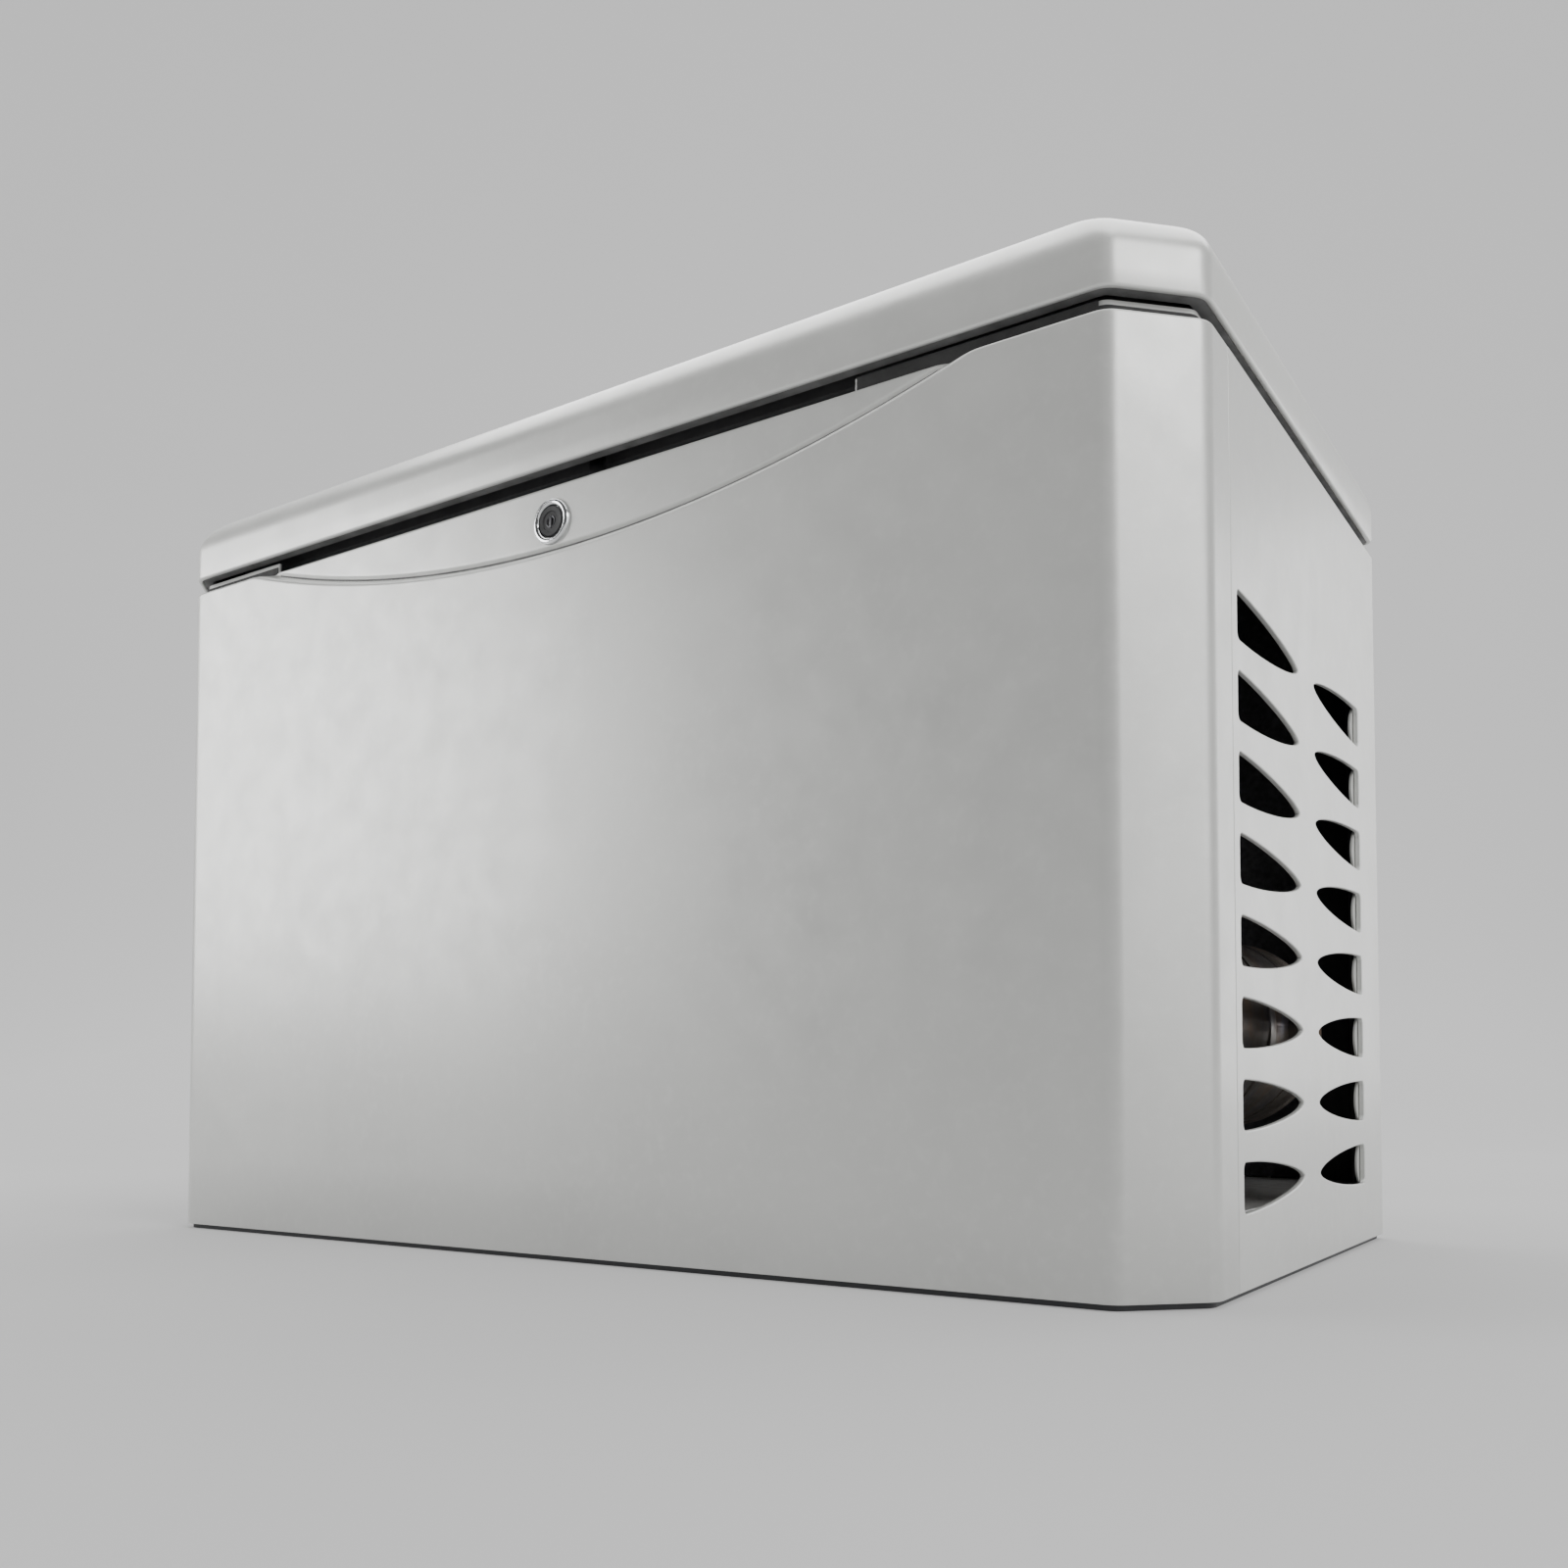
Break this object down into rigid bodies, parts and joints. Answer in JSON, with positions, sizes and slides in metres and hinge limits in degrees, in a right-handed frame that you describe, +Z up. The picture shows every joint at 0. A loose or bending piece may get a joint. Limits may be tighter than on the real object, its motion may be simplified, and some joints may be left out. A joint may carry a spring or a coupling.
{
  "type": "home standby generator",
  "caption": "Home standby generator: rounded moulded enclosure with hinged lid, lift-off front cover, leaf-shaped end vents, and an air-cooled V-twin engine and alternator inside.",
  "frame": {"origin": "centre of the base tray's underside", "axes": "+X along the length, towards the muffler end; -Y towards the front cover; +Z up"},
  "size_m": [1.216, 0.658, 0.832],
  "materials": {
    "shell_finish": "satin",
    "dark_frame": "satin powder coat",
    "seal_rubber": "matt",
    "galvanised_sheet": "satin",
    "zinc_hardware": "satin",
    "cast_alloy": "cast, matt",
    "black_enamel": "satin",
    "moulded_black": "matt",
    "filter_media": "matt",
    "brass_fitting": "satin",
    "hot_steel": "heat stained",
    "copper_winding": "varnished",
    "polished_shaft": "ground",
    "filter_paint": "gloss",
    "spark_porcelain": "glazed",
    "battery_plastic": "satin",
    "lead_post": "matt",
    "cable_rubber": "satin",
    "display_glass": "clear",
    "board_green": "satin",
    "foam_lining": "matt",
    "yellow_handle": "satin",
    "red_key": "satin",
    "green_key": "satin",
    "grey_key": "satin",
    "lock_chrome": "polished",
    "lock_black": "satin"
  },
  "bodies": {
    "chassis": {"base_tray": "dark_frame", "corner_posts": "dark_frame", "gutter_rim": "shell_finish", "lid_gasket": "seal_rubber", "right_end_panel": "shell_finish", "left_end_panel": "shell_finish", "rear_panel": "shell_finish", "muffler_bulkhead": "galvanised_sheet", "frame_hinge_leaves": "dark_frame", "hinge_pins": "zinc_hardware", "rubber_isolators": "seal_rubber", "crankcase": "cast_alloy", "cylinder_barrels": "cast_alloy", "cylinder_heads": "cast_alloy", "rocker_covers": "black_enamel", "blower_housing": "black_enamel", "air_cleaner_base": "moulded_black", "filter_element": "filter_media", "air_cleaner_cover": "moulded_black", "intake_manifold": "cast_alloy", "gas_regulator": "cast_alloy", "fuel_hoses": "cable_rubber", "fuel_inlet": "brass_fitting", "starter_motor": "black_enamel", "oil_filter": "filter_paint", "spark_plugs": "spark_porcelain", "exhaust_pipes": "hot_steel", "muffler": "hot_steel", "stator_can": "cast_alloy", "stator_core": "copper_winding", "end_bracket": "cast_alloy", "battery_case": "battery_plastic", "battery_terminals": "lead_post", "battery_strap": "seal_rubber", "battery_cables": "cable_rubber", "control_box": "dark_frame", "control_face": "moulded_black", "display_window": "display_glass", "circuit_board": "board_green", "breaker_body": "moulded_black", "conduit_bushing": "moulded_black", "panel_screws": "zinc_hardware"},
    "lid": {"roof": "shell_finish", "roof_lining": "foam_lining", "roof_hinge_leaves": "dark_frame", "lock_striker": "zinc_hardware"},
    "front_cover": {"front_panel": "shell_finish", "front_lining": "foam_lining", "lock_ring": "lock_chrome"},
    "lock": {"lock_plug": "lock_black"},
    "rotor": {"crankshaft": "polished_shaft", "flywheel_fan": "cast_alloy", "alternator_rotor": "copper_winding"},
    "dipstick": {"oil_dipstick": "yellow_handle"},
    "oil_cap": {"oil_fill_cap": "yellow_handle"},
    "breaker_lever": {"breaker_toggle": "moulded_black"},
    "off_key": {"off_button": "red_key"},
    "auto_key": {"auto_button": "green_key"},
    "run_key": {"run_button": "grey_key"},
    "menu_key": {"menu_rocker": "grey_key"}
  },
  "joints": [
    {"name": "lid_hinge", "type": "hinge", "parent": "chassis", "child": "lid", "pos_m": [0, 0.332, 0.745], "axis": [-1, 0, 0], "range_deg": [0, 95]},
    {"name": "front_cover_pull", "type": "slide", "parent": "chassis", "child": "front_cover", "axis": [0, -1, 0], "range_m": [0, 0.25]},
    {"name": "lock_turn", "type": "hinge", "parent": "front_cover", "child": "lock", "pos_m": [0, -0.314, 0.695], "axis": [0, 1, 0], "range_deg": [0, 90]},
    {"name": "rotor_spin", "type": "hinge", "parent": "chassis", "child": "rotor", "pos_m": [0, 0, 0.235], "axis": [1, 0, 0], "continuous": true},
    {"name": "dipstick_pull", "type": "slide", "parent": "chassis", "child": "dipstick", "axis": [0, 0, 1], "range_m": [0, 0.245]},
    {"name": "oil_cap_turn", "type": "hinge", "parent": "chassis", "child": "oil_cap", "pos_m": [0.072, -0.19375, 0.42875], "axis": [0, -0.7071, 0.7071], "range_deg": [0, 90]},
    {"name": "breaker_throw", "type": "hinge", "parent": "chassis", "child": "breaker_lever", "pos_m": [-0.454, -0.275, 0.492], "axis": [1, 0, 0], "range_deg": [0, 40]},
    {"name": "off_press", "type": "slide", "parent": "chassis", "child": "off_key", "axis": [0, 0.8192, -0.5736], "range_m": [0, 0.0015], "stiffness_N_per_m": 600},
    {"name": "auto_press", "type": "slide", "parent": "chassis", "child": "auto_key", "axis": [0, 0.8192, -0.5736], "range_m": [0, 0.0015], "stiffness_N_per_m": 600},
    {"name": "run_press", "type": "slide", "parent": "chassis", "child": "run_key", "axis": [0, 0.8192, -0.5736], "range_m": [0, 0.0015], "stiffness_N_per_m": 600},
    {"name": "menu_rock", "type": "hinge", "parent": "chassis", "child": "menu_key", "pos_m": [-0.384, -0.20639, 0.64036], "axis": [1, 0, 0], "range_deg": [-5, 5], "stiffness_Nm_per_rad": 0.2}
  ]
}
